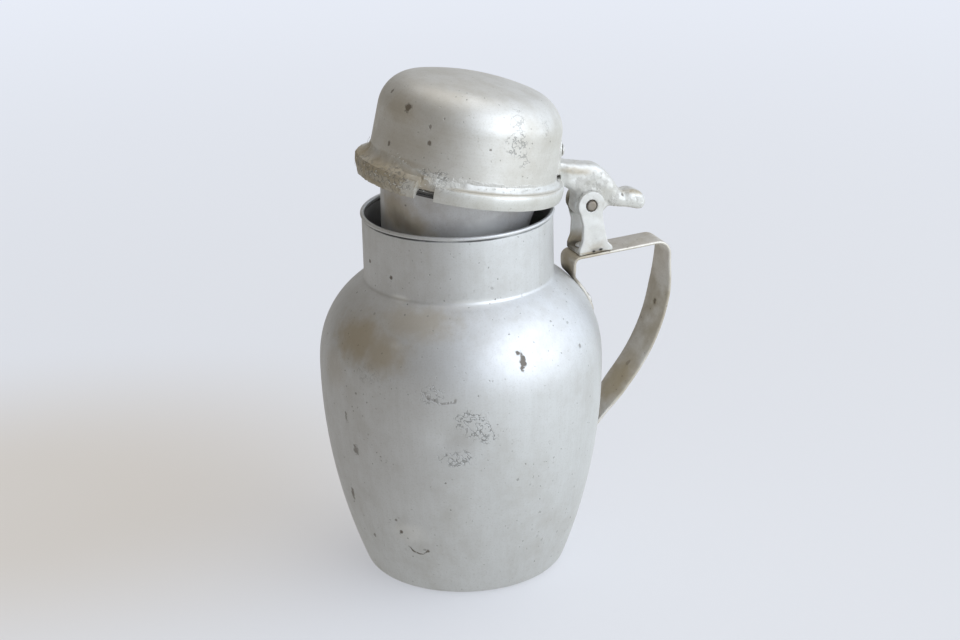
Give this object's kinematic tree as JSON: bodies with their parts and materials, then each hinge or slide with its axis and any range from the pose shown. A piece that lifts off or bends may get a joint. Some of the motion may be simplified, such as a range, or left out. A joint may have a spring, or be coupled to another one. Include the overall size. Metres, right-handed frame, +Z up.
{
  "type": "urine bottle",
  "caption": "Jug-shaped metal urine bottle with a wide neck, a strap handle and a hinged domed lid with an inner sleeve.",
  "frame": {"origin": "centre of the flat base, on the surface that the bottle stands on, on the vessel's axis", "axes": "+Z up along the vessel's axis, +X towards the handle and the hinge, hinge axis along Y; the lid rests 11 degrees ajar"},
  "size_m": [0.1632, 0.126, 0.227],
  "materials": {
    "spun_aluminium": "satin, oxidised and pitted",
    "strip_aluminium": "dull, dirty",
    "cast_alloy": "matte, oxidised casting",
    "pin_metal": "worn, grey brown",
    "rivet_aluminium": "hammered, dull",
    "cast_lever": "rough casting with a pale crust",
    "lid_aluminium": "satin, oxidised and pitted",
    "band_aluminium": "pitted, crusted",
    "sleeve_aluminium": "dark satin"
  },
  "bodies": {
    "vessel": {"vessel": "spun_aluminium", "handle_strap": "strip_aluminium", "hinge_bracket": "cast_alloy", "hinge_pin": "pin_metal", "shoulder_rivet": "rivet_aluminium", "wall_rivet_upper": "rivet_aluminium", "wall_rivet_lower": "rivet_aluminium", "bracket_rivet_inner": "rivet_aluminium", "bracket_rivet_outer": "rivet_aluminium"},
    "lid": {"hinge_arm": "cast_lever", "lid_dome": "lid_aluminium", "lid_rim_band": "band_aluminium", "lid_sleeve": "sleeve_aluminium", "arm_rivet_left": "rivet_aluminium", "arm_rivet_right": "rivet_aluminium"}
  },
  "joints": [
    {"name": "lid_hinge", "type": "hinge", "parent": "vessel", "child": "lid", "pos_m": [0.0608, 0, 0.1609], "axis": [0, 1, 0], "range_deg": [-11, 43]}
  ]
}
